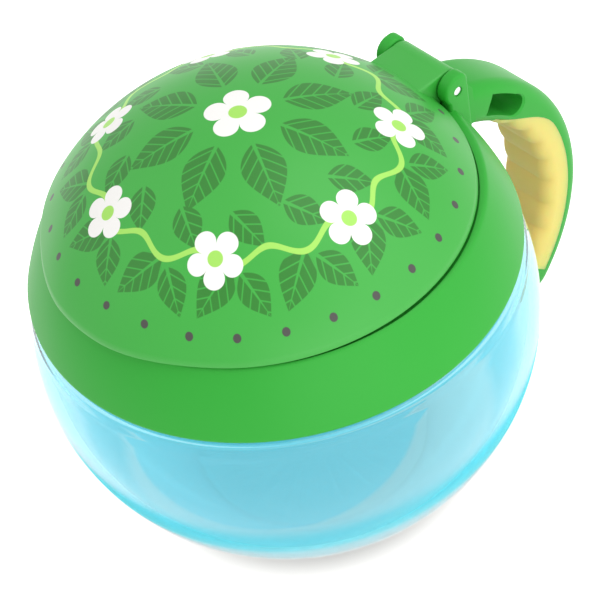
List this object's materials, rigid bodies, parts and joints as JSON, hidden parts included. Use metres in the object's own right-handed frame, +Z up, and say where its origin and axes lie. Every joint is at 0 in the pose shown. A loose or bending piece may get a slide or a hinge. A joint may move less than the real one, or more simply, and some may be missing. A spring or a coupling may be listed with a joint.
{
  "type": "toddler snack container",
  "caption": "Round see-through snack bowl with a screw-on collar, a one-hand handle with a ribbed soft grip, a soft flap insert and a hinged dome lid.",
  "frame": {"origin": "centre of the bowl's flat base, on the surface it stands on", "axes": "+Z up; the lid's thumb lip is towards -Y, the hinge and the handle towards +Y; X along the hinge pin"},
  "size_m": [0.094, 0.1179, 0.0882],
  "materials": {
    "clear_blue": "clear, light blue, glossy",
    "green_plastic": "satin moulded",
    "green_lid": "satin moulded, with a printed leaf and flower pattern in the scene",
    "yellow_soft": "matt soft-touch",
    "pale_soft": "matt soft",
    "steel": "plain round pin"
  },
  "bodies": {
    "bowl": {"bowl": "clear_blue"},
    "insert": {"insert_ring": "pale_soft"},
    "collar": {"collar": "green_plastic", "handle": "green_plastic", "handle_grip": "yellow_soft", "hinge_pin": "steel"},
    "lid": {"lid": "green_lid"},
    "flap_1": {"flap_1": "pale_soft"},
    "flap_2": {"flap_2": "pale_soft"},
    "flap_3": {"flap_3": "pale_soft"},
    "flap_4": {"flap_4": "pale_soft"},
    "flap_5": {"flap_5": "pale_soft"},
    "flap_6": {"flap_6": "pale_soft"}
  },
  "joints": [
    {"name": "insert_lift", "type": "slide", "parent": "bowl", "child": "insert", "axis": [0, 0, 1], "range_m": [0, 0.004]},
    {"name": "collar_turn", "type": "hinge", "parent": "insert", "child": "collar", "pos_m": [0, 0, 0.0624], "axis": [0, 0, 1], "range_deg": [0, 120]},
    {"name": "lid_hinge", "type": "hinge", "parent": "collar", "child": "lid", "pos_m": [0, 0.0395, 0.0699], "axis": [-1, 0, 0], "range_deg": [0, 150]},
    {"name": "flap_1_fold", "type": "hinge", "parent": "insert", "child": "flap_1", "pos_m": [0, 0.02696, 0.06305], "axis": [1, 0, 0], "range_deg": [-45, 70], "stiffness_Nm_per_rad": 0.004},
    {"name": "flap_2_fold", "type": "hinge", "parent": "insert", "child": "flap_2", "pos_m": [-0.02335, 0.01348, 0.06305], "axis": [0.5, 0.866, 0], "range_deg": [-45, 70], "stiffness_Nm_per_rad": 0.004},
    {"name": "flap_3_fold", "type": "hinge", "parent": "insert", "child": "flap_3", "pos_m": [-0.02335, -0.01348, 0.06305], "axis": [-0.5, 0.866, 0], "range_deg": [-45, 70], "stiffness_Nm_per_rad": 0.004},
    {"name": "flap_4_fold", "type": "hinge", "parent": "insert", "child": "flap_4", "pos_m": [0, -0.02696, 0.06305], "axis": [-1, 0, 0], "range_deg": [-45, 70], "stiffness_Nm_per_rad": 0.004},
    {"name": "flap_5_fold", "type": "hinge", "parent": "insert", "child": "flap_5", "pos_m": [0.02335, -0.01348, 0.06305], "axis": [-0.5, -0.866, 0], "range_deg": [-45, 70], "stiffness_Nm_per_rad": 0.004},
    {"name": "flap_6_fold", "type": "hinge", "parent": "insert", "child": "flap_6", "pos_m": [0.02335, 0.01348, 0.06305], "axis": [0.5, -0.866, 0], "range_deg": [-45, 70], "stiffness_Nm_per_rad": 0.004}
  ],
  "couplings": [
    {"joint": "insert_lift", "follows": "collar_turn", "m_per_rad": 0.0019099}
  ]
}
